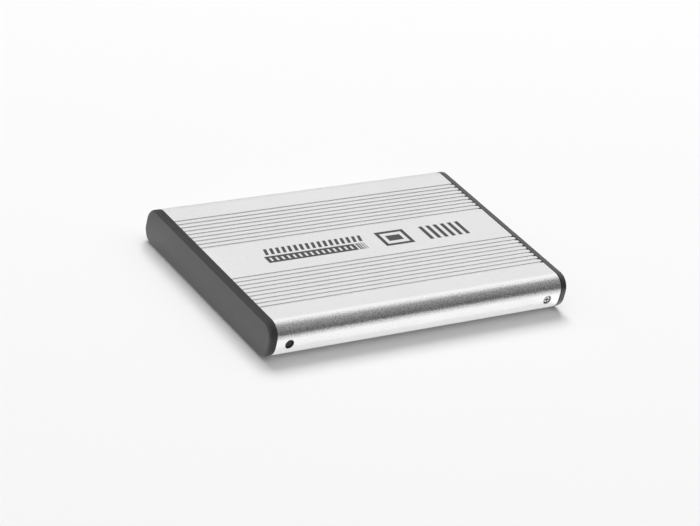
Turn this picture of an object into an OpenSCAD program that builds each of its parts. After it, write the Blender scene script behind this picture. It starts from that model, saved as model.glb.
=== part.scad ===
/* [Enclosure] */
// Length of the closed enclosure, over both end caps
case_len = 118; // [114:0.5:126]
// Width over the rounded sides
case_w = 76; // [74.5:0.5:82]
// Height, resting face to top face
case_h = 12.4; // [12.2:0.1:15]
// Radius of the four long corners of the profile
corner_r = 5; // [3.6:0.1:5.4]
// Wall of the top and bottom faces
face_wall = 1.2; // [1:0.05:1.6]
// Wall of the two long sides
side_wall = 1.6; // [1.2:0.05:1.6]
// Inner radius of the long corners
inner_r = 3.2; // [1.5:0.1:3.6]

/* [Grooves] */
// Grooves in each group
groove_count = 9; // [5:1:10]
// Distance between neighbouring grooves
groove_pitch = 2.08; // [1.6:0.02:2.3]
// First groove of each group, from the centre line
groove_first = 9.45; // [6:0.05:11]
// Width of a groove at the face
groove_w = 0.85; // [0.5:0.05:1.2]
// Width of a groove at its floor
groove_floor = 0.45; // [0.2:0.05:0.5]
// Depth of a groove
groove_depth = 0.4; // [0.2:0.05:0.6]

/* [End caps] */
// Part of each cap that shows past the sleeve
cap_t = 2.75; // [2.2:0.05:3.5]
// Rounding of a cap's outer edge
cap_round = 0.8; // [0.4:0.05:1.4]
// Gap between a cap's plug and the inside of the sleeve
plug_gap = 0.1; // [0.05:0.01:0.2]
// Depth of the caps' side blocks inside the sleeve
plug_depth = 9.6; // [8:0.1:9.8]
// Depth of the shallow tongues along the top and bottom
tongue_depth = 4; // [2:0.25:5]
// Thickness of those tongues
tongue_t = 1.05; // [0.8:0.05:1.2]
// Thickness of the plain cap's two spring tabs
tab_t = 1.1; // [0.8:0.05:1.15]
// Height of the spring tabs
tab_h = 5.6; // [4:0.2:6.4]

/* [Side screws] */
// Centre of a side hole, from the end of the sleeve
hole_inset = 5; // [4:0.1:7]
// Drop of the side holes below the middle of the side
hole_drop = 0.6; // [0:0.1:1.2]
// Diameter of a side hole
hole_d = 3.2; // [2.6:0.1:3.6]
// Diameter of the screw head that fills the hole
head_d = 2.9; // [2.2:0.1:3.2]
// Diameter of the screw thread
screw_d = 1.6; // [1.2:0.1:2]
// Length of the thread past the sleeve's inner face
screw_len = 4.2; // [3:0.2:5]
// Diameter of the snap pip that fills a hole of the plain cap
pip_d = 2.8; // [2.2:0.1:3.2]

/* [Data port] */
// Centre of the port, across the case
port_y = -12; // [-20:0.5:0]
// Width of the metal shell
shell_w = 12.3; // [12:0.1:12.6]
// Width of the wider half of its mouth
mouth_w = 7.9; // [7.5:0.1:8.2]
// Slot between the two halves of the mouth
step_w = 0.7; // [0.5:0.05:0.9]
// Bevel along the foot of the wider half
wide_bevel = 0.8; // [0.6:0.05:1]
// Bevel along the foot of the narrower half
slim_bevel = 0.5; // [0.3:0.05:0.6]
// Gap from the wider tongue to those bevels
tongue_gap = 0.8; // [0.4:0.05:1]
// Height of the metal shell
shell_h = 2.9; // [2.7:0.1:3.2]
// Length of the metal shell
shell_len = 6.4; // [5.6:0.1:7]
// Wall of the metal shell
shell_wall = 0.3; // [0.2:0.05:0.35]
// Gap between the shell and the cap around it
port_gap = 0.2; // [0.15:0.05:0.4]
// Mouth of the shell behind the cap's outer face
port_recess = 0.5; // [0.3:0.05:1]
// Rim of the shallow pocket round the mouth
pocket_rim = 0.7; // [0.4:0.1:1.2]
// Centre of the activity light, across the case
light_y = 18; // [12:0.5:22]
// Diameter of the light guide
light_d = 2; // [1.6:0.1:2]

/* [Bridge board] */
// Thickness of the small board behind the port
bridge_t = 1; // [0.8:0.1:1]
// Half width of that board
bridge_half = 31.2; // [28:0.2:31.2]
// Height of its lower face above the resting face
bridge_z = 2.8; // [2.8:0.05:2.9]
// Distance of its fixing screws from the centre line
bridge_screw_y = 29; // [28:0.1:29.4]
// Gap between the board and the cap's blocks beside it
bridge_gap = 0.2; // [0.1:0.05:0.4]
// Gap between the drive and the board
board_gap = 0.55; // [0.3:0.05:1]
// Gap between the board and the end of the sleeve
board_end_gap = 0.65; // [0.4:0.05:1]
// Fixing screw past the side screw, towards the port
screw_offset = 1.5; // [0:0.1:2]
// Rim of the ledge under the board, past a fixing screw's centre
ledge_rim = 2; // [1.2:0.1:3]

/* [Padding] */
// Width of the foam strips under the drive
low_pad_w = 16; // [8:0.5:20]
// Centre of those strips, from the centre line
low_pad_y = 17; // [12:0.5:20]
// Start of those strips, from the drive's plain end
low_pad_x = 7.6; // [4:0.2:12]
// Width of the foam strips over the drive
top_pad_w = 12; // [8:0.5:14]
// Centre of those strips, from the centre line
top_pad_y = 23; // [20:0.5:26]
// Start of those strips, from the drive's plain end
top_pad_x = 13.6; // [6:0.2:20]
// Distance left free past the far end of a strip
pad_end = 5; // [3:0.5:10]

/* [Drive] */
// Length of the drive
drive_len = 100.35; // [100.2:0.05:100.4]
// Width of the drive
drive_w = 69.85; // [69.6:0.05:70]
// Thickness of the drive
drive_h = 7; // [7:0.1:7.2]
// Gap between the plain cap and the drive
drive_gap = 0.65; // [0.5:0.05:0.8]
// Height of the cast base under the seal
base_h = 6.2; // [6.2:0.05:6.3]
// Height of the base's inner floor
floor_z = 2.2; // [2:0.05:2.2]
// Centre of the connector, from the drive's centre line
plug_y = 4.8; // [4.6:0.1:5]
// Half width of the connector
plug_half = 21.2; // [21:0.1:21.6]
// Depth of the connector's bay
plug_bay = 5.4; // [5.2:0.1:6]
// Wall between that bay and the arm's chamber
plug_wall = 1.55; // [1.2:0.05:2]
// Gap between the two mating connectors
mate_gap = 0.35; // [0.2:0.05:0.6]
// Wall between the arm's chamber and the long sides
rail_w = 2.725; // [2.4:0.025:3]
// Thickness of the seal under the cover
seal_t = 0.2; // [0.15:0.05:0.3]
// Depth of the recess that holds the drive's own board
board_recess = 1.3; // [1.2:0.05:1.4]
// Rim of that board inside the chamber's outline
board_rim = 4.2; // [4:0.1:6]
// Thickness of that board
board_t = 0.8; // [0.6:0.05:0.9]
// Height of the chips on it
chip_t = 0.7; // [0.5:0.05:0.8]
// Height of the connector's blades
blade_z = 2.15; // [2.1:0.05:2.3]

/* [Disk] */
// Disk centre, from the plain end of the drive
disk_x = 35.2; // [35:0.05:35.3]
// Disk diameter
disk_d = 65; // [64.6:0.1:65]
// Disk bore
disk_bore = 20; // [19:0.5:20]
// Disk thickness
disk_t = 0.64; // [0.5:0.02:0.7]
// Height of the disk's lower face in the drive
disk_z = 4.1; // [4.05:0.05:4.15]
// Gap between the disk's rim and the wall round it
disk_gap = 0.9; // [0.7:0.05:0.95]
// Radius of the motor's well
motor_well = 11.6; // [11.5:0.05:12]

/* [Head arm] */
// Pivot of the arm, from the plain end of the drive
pivot_x = 73.4; // [73.2:0.1:73.6]
// Pivot of the arm, from the drive's centre line
pivot_y = 9; // [8.8:0.1:9.2]
// Distance from the pivot to the heads
head_reach = 36; // [35.8:0.1:36.1]
// Direction of the arm when it is parked
park_angle = 250.76; // [250:0.1:251.5]
// Diameter of the fixed pivot post
post_d = 3; // [2.6:0.1:3.1]
// Gap between the post and the bearing round it
bearing_gap = 0.3; // [0.25:0.05:0.35]
// Outer radius of the arm's hub
hub_r = 5.2; // [5:0.1:5.4]
// Outer radius of the voice coil
coil_r = 19.5; // [19:0.1:19.5]
// Thickness of the voice coil
coil_t = 1.1; // [0.9:0.05:1.1]
// Gap from the coil to the magnets on both sides
magnet_gap = 0.35; // [0.3:0.05:0.5]
// Thickness of the lower magnet's plate
yoke_t = 0.7; // [0.6:0.05:0.8]
// Thickness of the upper magnet's plate
top_yoke_t = 0.4; // [0.3:0.05:0.5]
// Thickness of each head and of the arm's blade
head_t = 0.4; // [0.35:0.01:0.45]
// Gap from the heads to the disk's faces
fly_gap = 0.34; // [0.3:0.01:0.4]
// Gap from the heads to the parking ramp
ramp_gap = 0.5; // [0.3:0.05:0.8]
// Gap between the ramp and the chamber's wall, where it comes near
ramp_room = 0.5; // [0.3:0.1:1]
// Depth of the ramp's slope, along the arm
slope_w = 2.2; // [1.8:0.1:2.4]
// Half width of the ramp, across the arm
ramp_half = 4; // [3.5:0.1:4.5]

/* [Hidden] */
$fn = 64;

sleeve_len = case_len - 2*cap_t;
sleeve_x = sleeve_len/2;
mid_z = case_h/2;
inner_w = case_w - 2*side_wall;
inner_h = case_h - 2*face_wall;
hole_x = sleeve_x - hole_inset;
hole_z = mid_z - hole_drop;
drive_x = -sleeve_x + drive_gap;
drive_z = mid_z - drive_h/2;
pad_t = drive_z - face_wall;
bridge_x = drive_x + drive_len + board_gap;
bridge_end = sleeve_x - board_end_gap;
bridge_top = bridge_z + bridge_t;
fix_x = hole_x + screw_offset;
shell_x = sleeve_x + cap_t - port_recess - shell_len;
light_z = bridge_top + light_d*0.6;

// Outlines inside the drive, seen from above
hw = drive_w/2;
disk_r = disk_d/2;
well_r = disk_r + disk_gap;
plug_x = drive_len - plug_bay;
chamber_half = hw - rail_w;
chamber_end = plug_x - plug_wall;
pin_pitch = 1.27;

// Heights in the drive, from its lower face
disk_top = disk_z + disk_t;
arm_low = disk_z - fly_gap - head_t;
arm_high = disk_top + fly_gap + head_t;
coil_z = disk_z + disk_t/2 - coil_t/2;
bearing_r = post_d/2 + bearing_gap;
top_yoke = base_h - 0.1;

// The ramp stands past the heads: its slope, then the block that carries it
slope_r = head_reach + 0.6 + ramp_gap;
block_r = slope_r + slope_w + 1.7;

// The drive's board and its chips, [x, y, length, width] from the board's inner end
board_x = disk_x + motor_well + 1.5;
board_half = chamber_half - board_rim;
board_z = board_recess - 0.2 - board_t;
chip_spots = [[10.4, -4.7, 9, 9], [26.7, -14.8, 5.6, 7], [10.4, 10.7, 6, 6]];
board_fix = [for (x = [board_x + 2.7, plug_x - 3.45], s = [-1, 1]) [x, s*(board_half - 2.5)]];
cover_fix = [for (s = [-1, 1]) each [[3.2, s*(hw - 3.225)], [disk_x + disk_r - 1.7, s*(hw - 1.725)],
  [drive_len - 3.25, s*(hw - 3.125)]]];

// Outline of the extrusion, w wide and h high with corners of radius r
module profile(w, h, r) {
  square([w - 2*r, h], center = true);
  square([w, h - 2*r], center = true);
  for (y = [-1, 1], z = [-1, 1]) translate([y*(w/2 - r), z*(h/2 - r)]) circle(r);
}

// Runs a profile along the case from x0
module along_x(x0, len) translate([x0, 0, mid_z]) rotate([90, 0, 90]) linear_extrude(len) children();

// Plan outline of a drive plate with rounded corners, inset from the drive's edge
module plan(inset, r = 2) {
  l = drive_len - 2*inset;
  w = drive_w - 2*inset;
  translate([drive_len/2, 0]) {
    square([l - 2*r, w], center = true);
    square([l, w - 2*r], center = true);
    for (x = [-1, 1], y = [-1, 1]) translate([x*(l/2 - r), y*(w/2 - r)]) circle(r);
  }
}

module edge2d(r, t, f) {
  square([r - f, t]);
  square([r, t - f]);
  translate([r - f, t - f]) circle(f);
}
module quarter(r, t, f) rotate_extrude(angle = 90) edge2d(r, t, f);

// Plate with corners of radius r and one rounded face edge of radius f
module rounded_plate(w, h, r, t, f) {
  a = w/2 - r;
  b = h/2 - r;
  translate([-a, -b, 0]) cube([2*a, 2*b, t]);
  for (q = [[a, b, 0], [-a, b, 90], [-a, -b, 180], [a, -b, 270]])
    translate([q[0], q[1], 0]) rotate([0, 0, q[2]]) quarter(r, t, f);
  translate([a, b, 0]) rotate([90, 0, 0]) linear_extrude(2*b) edge2d(r, t, f);
  translate([-a, -b, 0]) rotate([90, 0, 180]) linear_extrude(2*b) edge2d(r, t, f);
  translate([-a, b, 0]) rotate([90, 0, 90]) linear_extrude(2*a) edge2d(r, t, f);
  translate([a, -b, 0]) rotate([90, 0, -90]) linear_extrude(2*a) edge2d(r, t, f);
}

// Ring sector from radius r1 to r2, angle a1 to a2, height z1 to z2
module sector(r1, r2, a1, a2, z1, z2)
  rotate([0, 0, a1]) rotate_extrude(angle = a2 - a1) translate([r1, z1]) square([r2 - r1, z2 - z1]);

module box(x1, x2, y1, y2, z1, z2) translate([x1, y1, z1]) cube([x2 - x1, y2 - y1, z2 - z1]);
module rod(r, z1, z2) translate([0, 0, z1]) cylinder(r = r, h = z2 - z1);
module in_drive() translate([drive_x, 0, drive_z]) children();
module at_disk() in_drive() translate([disk_x, 0, 0]) children();
module at_pivot() in_drive() translate([pivot_x, pivot_y, 0]) children();

// The arm is drawn along X from its pivot and turned to where it parks
module on_arm() at_pivot() rotate([0, 0, park_angle]) children();

// Pan head with a cross recess, standing on z = 0 with its thread going down
module cross_screw(head, thick, d, len, slot = 0.3) {
  difference() {
    union() {
      rod(head/2 - thick*0.35, 0, thick);
      rod(head/2, 0, thick*0.65);
      rod(d/2, -len, 0.1);
    }
    for (a = [0, 90]) rotate([0, 0, a]) box(-head*0.3, head*0.3, -slot/2, slot/2, thick*0.45, thick + 1);
  }
}

module grooves() {
  for (s = [-1, 1], i = [0:groove_count - 1], f = [-1, 1])
    along_x(-sleeve_x - 1, sleeve_len + 2)
      translate([s*(groove_first + i*groove_pitch), f*case_h/2])
        polygon([[-groove_w/2, f], [-groove_w/2, 0], [-groove_floor/2, -f*groove_depth],
          [groove_floor/2, -f*groove_depth], [groove_w/2, 0], [groove_w/2, f]]);
}

module body_sleeve() color("silver") difference() {
  along_x(-sleeve_x, sleeve_len) profile(case_w, case_h, corner_r);
  along_x(-sleeve_x - 1, sleeve_len + 2) profile(inner_w, inner_h, inner_r);
  grooves();
  for (x = [-hole_x, hole_x]) translate([x, 0, hole_z]) rotate([90, 0, 0])
    cylinder(d = hole_d, h = case_w + 2, center = true, $fn = 48);
}

module cap_flange() translate([sleeve_x, 0, mid_z]) rotate([90, 0, 90])
  rounded_plate(case_w, case_h, corner_r, cap_t, cap_round);

module cap_tongues(spans) for (z = [face_wall + plug_gap, case_h - face_wall - plug_gap - tongue_t])
  for (y = spans) box(sleeve_x - tongue_depth, sleeve_x + 0.5, y[0], y[1], z, z + tongue_t);

// Room that a cap's plug may fill inside the sleeve
module plug_space() along_x(sleeve_x - plug_depth, plug_depth + 0.5)
  profile(inner_w - 2*plug_gap, inner_h - 2*plug_gap, inner_r - plug_gap);

module plain_end_cap() color([0.24, 0.25, 0.27]) mirror([1, 0, 0]) union() {
  cap_flange();
  cap_tongues([[-28, -6], [6, 28]]);
  intersection() {
    plug_space();
    union() for (s = [-1, 1]) translate([0, s*(inner_w/2 - plug_gap - tab_t/2), hole_z])
      cube([2*case_len, tab_t, tab_h], center = true);
  }
  for (s = [-1, 1]) translate([hole_x, s*(inner_w/2 - plug_gap - 0.2), hole_z]) rotate([-90*s, 0, 0])
    cylinder(d = pip_d, h = side_wall - 0.35, $fn = 48);
}

module port_hole(x1, x2, g) translate([0, port_y, bridge_top + shell_h/2])
  box(x1, x2, -shell_w/2 - g, shell_w/2 + g, -shell_h/2 - g, shell_h/2 + g);

module port_end_cap() color([0.3, 0.31, 0.33]) difference() {
  union() {
    cap_flange();
    cap_tongues([[-26, -20], [-2, 12], [22, 26]]);
    intersection() {
      plug_space();
      union() for (s = [-1, 1]) {
        translate([0, s*(inner_w/2 + bridge_half + bridge_gap)/2, mid_z])
          cube([2*case_len, inner_w/2 - bridge_half - bridge_gap, inner_h], center = true);
        translate([0, s*(bridge_half + bridge_screw_y)/2, (face_wall + bridge_z)/2])
          cube([2*case_len, bridge_half - bridge_screw_y + 2*ledge_rim, bridge_z - face_wall], center = true);
      }
    }
  }
  port_hole(sleeve_x - 1, sleeve_x + cap_t + 1, port_gap);
  port_hole(sleeve_x + cap_t - port_recess, sleeve_x + cap_t + 1, port_gap + pocket_rim);
  translate([sleeve_x - 1, light_y, light_z]) rotate([0, 90, 0])
    cylinder(d = light_d + 0.1, h = cap_t + 2, $fn = 32);
  for (s = [-1, 1]) {
    translate([hole_x, s*(inner_w/2 + 0.5), hole_z]) rotate([90*s, 0, 0])
      cylinder(d = screw_d, h = screw_len + 0.6, $fn = 32);
    translate([fix_x, s*bridge_screw_y, face_wall - 0.1])
      cylinder(d = screw_d, h = bridge_z - face_wall + 0.2, $fn = 32);
  }
}

module cap_screws() color([0.85, 0.86, 0.88]) for (s = [-1, 1])
  translate([hole_x, s*(inner_w/2 + 0.02), hole_z]) rotate([-90*s, 0, 0])
    cross_screw(head_d, side_wall - 0.3, screw_d, screw_len, 0.42, $fn = 48);

module bridge_board() color([0.05, 0.3, 0.18]) difference() {
  box(bridge_x, bridge_end, -bridge_half, bridge_half, bridge_z, bridge_top);
  for (s = [-1, 1]) translate([fix_x, s*bridge_screw_y, bridge_z - 1])
    cylinder(d = screw_d + 0.1, h = bridge_t + 2, $fn = 32);
}

// The two blades of the drive's connector, [y1, y2] from the connector's centre
blades = [[9, 19.4], [-19.5, 1.1]];
socket_end = plug_x + 9.05;

module sata_socket() color([0.08, 0.08, 0.09]) in_drive() difference() {
  box(plug_x + 1.3 + mate_gap, socket_end, plug_y - plug_half + 0.9, plug_y + plug_half - 0.9,
    bridge_top - drive_z, blade_z + 2.35);
  for (b = blades) {
    x = plug_x + plug_bay + 0.5;
    y = plug_y + b[0] - 0.2;
    box(plug_x, x, y, plug_y + b[1] + 0.2, blade_z - mate_gap, blade_z + 1.45);
    box(plug_x, x, y, y + 1.6, blade_z + 1, blade_z + 1.95);
  }
}

function pins(b, n) = [for (i = [0:n - 1]) plug_y + b[1] - 0.9 - i*pin_pitch];

module socket_pins() color([0.8, 0.66, 0.3]) in_drive()
  for (y = concat(pins(blades[0], 7), pins(blades[1], 15))) {
    box(socket_end, socket_end + 0.2, y - 0.2, y + 0.2, bridge_top - drive_z, bridge_top - drive_z + 1.3);
    box(socket_end, socket_end + 0.6, y - 0.2, y + 0.2, bridge_top - drive_z, bridge_top - drive_z + 0.2);
  }

// Mouth of the port: a wide part and a narrow part with a step between them, inset by g
module shell2d(g) {
  a = shell_w/2 - g;
  m = -shell_w/2 + mouth_w - g;
  n = -shell_w/2 + mouth_w + step_w + g;
  w = wide_bevel;
  v = slim_bevel;
  polygon([[-a, shell_h - g], [-a, 0.9 + g], [-a + w, g], [m - w, g], [m, 0.9 + g], [m, 1.1 + g],
    [n, 1.1 + g], [n, v + g], [n + v, g], [a - v, g], [a, v + g], [a, shell_h - g]]);
}
module usb_shell() color([0.78, 0.79, 0.8]) translate([shell_x, port_y, bridge_top]) rotate([90, 0, 90])
  difference() {
    linear_extrude(shell_len) shell2d(0);
    translate([0, 0, 0.3]) linear_extrude(shell_len) shell2d(shell_wall);
  }

// Tongues in the two halves of the mouth, [y1, y2] from the port's centre
wide_inset = shell_wall + wide_bevel + tongue_gap;
slim_inset = shell_wall + slim_bevel;
tongues = [[-shell_w/2 + wide_inset, -shell_w/2 + mouth_w - wide_inset],
  [-shell_w/2 + mouth_w + step_w + slim_inset, shell_w/2 - slim_inset]];
module usb_tongue() color([0.06, 0.06, 0.07]) translate([shell_x, port_y, bridge_top]) {
  for (t = tongues) {
    box(0.3, 1.4, t[0], t[1], shell_wall, shell_h - shell_wall);
    box(1.3, shell_len - 1, t[0], t[1], 1.5, 2.1);
  }
}

module usb_contacts() color([0.85, 0.7, 0.32]) translate([shell_x, port_y, bridge_top])
  for (t = tongues) for (i = [-2:2]) {
    w = t[1] - t[0];
    y = (t[0] + t[1])/2 + i*w*0.2;
    box(1.4, shell_len - 1.3, y - w*0.05, y + w*0.05, 1.4, 1.5);
  }

module bridge_chip() color([0.07, 0.07, 0.08]) translate([bridge_x + 4.7, 4, bridge_top]) union() {
  box(0, 5, 0, 5, 0.05, 0.9);
  for (i = [0:7]) for (y = [-0.15, 4.85]) box(0.4 + i*0.6, 0.65 + i*0.6, y, y + 0.3, 0, 0.2);
}

module memory_chip() color([0.07, 0.07, 0.08]) translate([bridge_x + 4.9, -1, bridge_top]) union() {
  box(0, 4, 0, 3, 0.1, 1.3);
  for (i = [0:3]) for (y = [-0.7, 2.8]) box(0.4 + i*0.9, 0.75 + i*0.9, y, y + 0.9, 0, 0.3);
}

module crystal() color([0.8, 0.8, 0.82]) translate([bridge_x + 5.2, 11, bridge_top]) union() {
  box(0, 3.2, 0, 2.5, 0, 0.3);
  box(0.2, 3, 0.2, 2.3, 0.2, 0.8);
}

module board_capacitors() color([0.6, 0.48, 0.34]) translate([bridge_x, 0, bridge_top])
  for (p = [[4.9, -4.2], [6.9, -4.2], [8.7, -4.2], [4.9, -3], [6.9, -3], [4.7, 14.6], [6.3, 14.6],
    [4.7, 21], [6.5, 21], [5.1, -20], [5.1, -22], [7.1, -22], [7.1, -20]])
    box(p[0], p[0] + 1, p[1], p[1] + 0.55, 0, 0.55);

module status_led() color([0.95, 0.95, 0.85]) translate([bridge_end, light_y, bridge_top]) union() {
  box(-2.4, -0.4, -0.65, 0.65, 0, 0.4);
  box(-2, -0.4, -0.5, 0.5, 0.3, light_d*0.75);
}

module light_guide() color([0.85, 0.9, 0.95])
  translate([bridge_end - 0.3, light_y, light_z]) rotate([0, 90, 0])
    cylinder(d = light_d, h = sleeve_x + cap_t - bridge_end + 0.25, $fn = 32);

module board_screws() color([0.75, 0.76, 0.78]) for (s = [-1, 1])
  translate([fix_x, s*bridge_screw_y, bridge_top]) cross_screw(3.2, 0.8, screw_d, bridge_t + 1.3, $fn = 32);

module foam_pads() color([0.12, 0.12, 0.13]) in_drive() for (s = [-1, 1]) {
  translate([low_pad_x, s*low_pad_y - low_pad_w/2, -pad_t])
    cube([board_x - pad_end - low_pad_x, low_pad_w, pad_t]);
  translate([top_pad_x, s*top_pad_y - top_pad_w/2, drive_h])
    cube([plug_x - pad_end - top_pad_x, top_pad_w, pad_t]);
}

// Space of the disk and of the arm, seen from above
module chamber(g) {
  translate([disk_x, 0]) circle(well_r + g, $fn = 128);
  translate([disk_x, -chamber_half - g]) square([chamber_end + g - disk_x, 2*(chamber_half + g)]);
  translate([pivot_x, pivot_y]) rotate(park_angle) translate([0, -ramp_half - ramp_room - g])
    square([block_r + ramp_room + g, 2*(ramp_half + ramp_room + g)]);
}

module drive_base() color([0.62, 0.63, 0.65]) in_drive() difference() {
  union() {
    difference() {
      linear_extrude(base_h) plan(0);
      translate([0, 0, floor_z]) linear_extrude(9) chamber(0);
    }
    translate([pivot_x, pivot_y, 0]) rod(post_d, floor_z - 0.2, floor_z + 0.5);
  }
  translate([disk_x, 0, 0]) rod(motor_well, floor_z - 1.3, 9);
  box(board_x - 0.3, plug_x + 0.3, -board_half - 0.3, board_half + 0.3, -1, board_recess);
  translate([board_x, 0, 0]) for (c = chip_spots)
    translate([c[0] - 0.6, c[1] - 0.6, board_recess - 0.1])
      cube([c[2] + 1.2, c[3] + 1.2, board_z + board_t + chip_t + 0.15 - board_recess]);
  box(plug_x - 0.1, drive_len + 9, plug_y - plug_half - 0.2, plug_y + plug_half + 0.2, -1, blade_z + 2.85);
  for (p = cover_fix) translate([p[0], p[1], 0]) rod(0.8, base_h - 2.8, base_h + 3, $fn = 32);
  for (x = [drive_len - 90.6, drive_len - 14], s = [-1, 1]) {
    translate([x, s*(hw - 4.065), 0]) rod(1.25, -1, 1.5, $fn = 32);
    translate([x, s*(hw + 1), 3]) rotate([90*s, 0, 0]) cylinder(r = 1.25, h = 3, $fn = 32);
  }
  for (p = board_fix) translate([p[0], p[1], 0]) rod(0.8, 0, floor_z - 0.2, $fn = 32);
}

module cover_gasket() color([0.1, 0.1, 0.1]) in_drive() translate([0, 0, base_h])
  linear_extrude(seal_t) difference() {
    plan(0.3, 1.8);
    chamber(0.45);
    for (p = cover_fix) translate(p) circle(1.1, $fn = 32);
  }

module drive_cover() color([0.75, 0.76, 0.78]) in_drive() difference() {
  translate([0, 0, base_h + seal_t]) linear_extrude(drive_h - base_h - seal_t) plan(0.1);
  translate([disk_x, 0, 0]) rod(13, drive_h - 0.2, drive_h + 1);
  translate([pivot_x, pivot_y, 0]) rod(4, drive_h - 0.2, drive_h + 1);
  translate([pivot_x - 15.4, -20, 0]) rod(0.7, base_h, drive_h + 1, $fn = 32);
  for (p = cover_fix) translate([p[0], p[1], 0]) {
    rod(1.6, drive_h - 0.45, drive_h + 1, $fn = 32);
    rod(0.9, base_h, drive_h + 1, $fn = 32);
  }
}

module cover_screws() color([0.8, 0.8, 0.82]) in_drive() for (p = cover_fix)
  translate([p[0], p[1], drive_h - 0.45]) cross_screw(3, 0.42, 1.6, 3, $fn = 32);

module spindle_bearing() color([0.7, 0.62, 0.4]) at_disk() difference() {
  rod(2.9, floor_z - 1.3, disk_z - 1.2);
  rod(1.8, 0, 9);
}

module tooth(i, w, r1, r2, z1, z2) rotate([0, 0, i*40]) box(r1, r2, -w/2, w/2, z1, z2);

module motor_stator() color([0.35, 0.36, 0.38]) at_disk() translate([0, 0, floor_z - 0.6])
  linear_extrude(1) difference() {
    union() {
      circle(4.6);
      for (i = [0:8]) rotate(i*40) {
        translate([3.5, -0.6]) square([5.1, 1.2]);
        translate([8.4, -1.8]) square([0.6, 3.6]);
      }
    }
    circle(2.9);
  }

module stator_coils() color([0.72, 0.42, 0.2]) at_disk() for (i = [0:8]) difference() {
  tooth(i, 2.2, 5, 8.2, floor_z - 1, floor_z + 0.7);
  tooth(i, 1.2, 4, 9, floor_z - 0.6, floor_z + 0.4);
}

module spindle_hub() color([0.7, 0.71, 0.73]) at_disk() difference() {
  union() {
    rod(11.5, disk_z - 0.9, disk_z);
    rod(disk_bore/2, disk_z - 0.9, disk_top);
    rod(1.5, floor_z - 1, disk_top);
  }
  rod(0.8, disk_z - 0.7, disk_top + 1, $fn = 32);
}

module rotor_magnet() color([0.3, 0.3, 0.32]) at_disk() difference() {
  rod(10.7, floor_z - 0.7, disk_z - 0.9);
  rod(9.7, 0, 9);
}

module platter() color([0.85, 0.86, 0.88]) at_disk() difference() {
  rod(disk_r, disk_z, disk_top, $fn = 128);
  rod(disk_bore/2, 0, 9);
}

module platter_clamp() color([0.66, 0.67, 0.7]) at_disk() difference() {
  union() {
    rod(disk_bore/2 + 2.5, disk_top, disk_top + 0.45);
    rod(disk_bore/2 + 0.8, disk_top, disk_top + 0.6);
  }
  difference() {
    rod(disk_bore/2 - 0.4, disk_top + 0.4, 9);
    rod(4, 0, 9);
  }
  rod(0.9, 0, 9, $fn = 32);
  for (i = [0:5]) rotate([0, 0, i*60]) translate([7, 0, 0]) rod(0.8, 0, 9, $fn = 32);
}

module clamp_screw() color([0.5, 0.51, 0.54]) at_disk() translate([0, 0, disk_top + 0.6])
  cross_screw(4.4, 0.5, 1.6, 1.5, $fn = 32);

module pivot_post() color([0.6, 0.61, 0.63]) at_pivot() rod(post_d/2, floor_z + 0.5, base_h - 0.3);

module actuator_arm() color([0.66, 0.68, 0.7]) on_arm() difference() {
  union() {
    rod(hub_r, arm_low, arm_high);
    for (z = [arm_low, arm_high - head_t]) translate([0, 0, z]) linear_extrude(head_t)
      polygon([[0, -4.4], [4, -4], [20, -2.1], [24, -1.7], [24, 1.7], [20, 2.1], [4, 4], [0, 4.4]]);
    sector(3, 9, 158, 202, coil_z, coil_z + coil_t);
  }
  rod(4.2, 0, 9);
  for (x = [10, 15, 19.4]) translate([x, 0, 0]) rod(x == 10 ? 1.6 : 1.1, 0, 9, $fn = 32);
}

module pivot_bearing() color([0.8, 0.81, 0.83]) at_pivot() difference() {
  rod(4.2, arm_low, arm_high);
  rod(bearing_r, 0, 9);
}

module voice_coil() color([0.72, 0.42, 0.2]) on_arm() difference() {
  sector(9, coil_r, 161, 199, coil_z, coil_z + coil_t);
  sector(11.4, coil_r - 2.9, 170, 190, 0, 9);
}

module head_suspensions() color([0.82, 0.83, 0.85]) on_arm() for (z = [arm_low - 0.1, arm_high])
  translate([0, 0, z]) linear_extrude(0.1)
    polygon([[17.5, -1.9], [24, -1.6], [head_reach - 1.5, -0.6], [head_reach + 0.8, -0.5],
      [head_reach + 2.6, -0.3], [head_reach + 2.6, 0.3], [head_reach + 0.8, 0.5],
      [head_reach - 1.5, 0.6], [24, 1.6], [17.5, 1.9]]);

module read_heads() color([0.2, 0.2, 0.22]) on_arm()
  for (z = [[arm_low, disk_z - fly_gap], [disk_top + fly_gap, arm_high]])
    box(head_reach - 0.6, head_reach + 0.6, -0.45, 0.45, z[0], z[1]);

// Plate of the coil's magnets, with an ear for each post
ear_r = coil_r + 1.1;
module yoke(z1, z2) {
  sector(6.4, coil_r - 2.5, 2, 104, z1, z2);
  sector(6.4, coil_r + 0.7, 16, 92, z1, z2);
  rotate([0, 0, 53]) translate([ear_r, 0, 0]) rod(2.2, z1, z2, $fn = 32);
}
post_spots = [[100, 14], [6, 14], [53, ear_r + 0.8]];

module lower_yoke() color([0.7, 0.7, 0.72]) at_pivot() yoke(floor_z, floor_z + yoke_t);
module lower_magnet() color([0.55, 0.56, 0.58]) at_pivot()
  sector(9.5, coil_r - 1, 18, 89, floor_z + yoke_t, coil_z - magnet_gap);
module upper_yoke() color([0.7, 0.7, 0.72]) at_pivot() yoke(top_yoke - top_yoke_t, top_yoke);
module upper_magnet() color([0.55, 0.56, 0.58]) at_pivot()
  sector(9.5, coil_r - 1, 18, 89, coil_z + coil_t + magnet_gap, top_yoke - top_yoke_t);
module yoke_posts() color([0.65, 0.66, 0.68]) at_pivot() for (p = post_spots)
  rotate([0, 0, p[0]]) translate([p[1], 0, 0]) rod(1.1, floor_z + yoke_t, top_yoke - top_yoke_t, $fn = 32);

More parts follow.
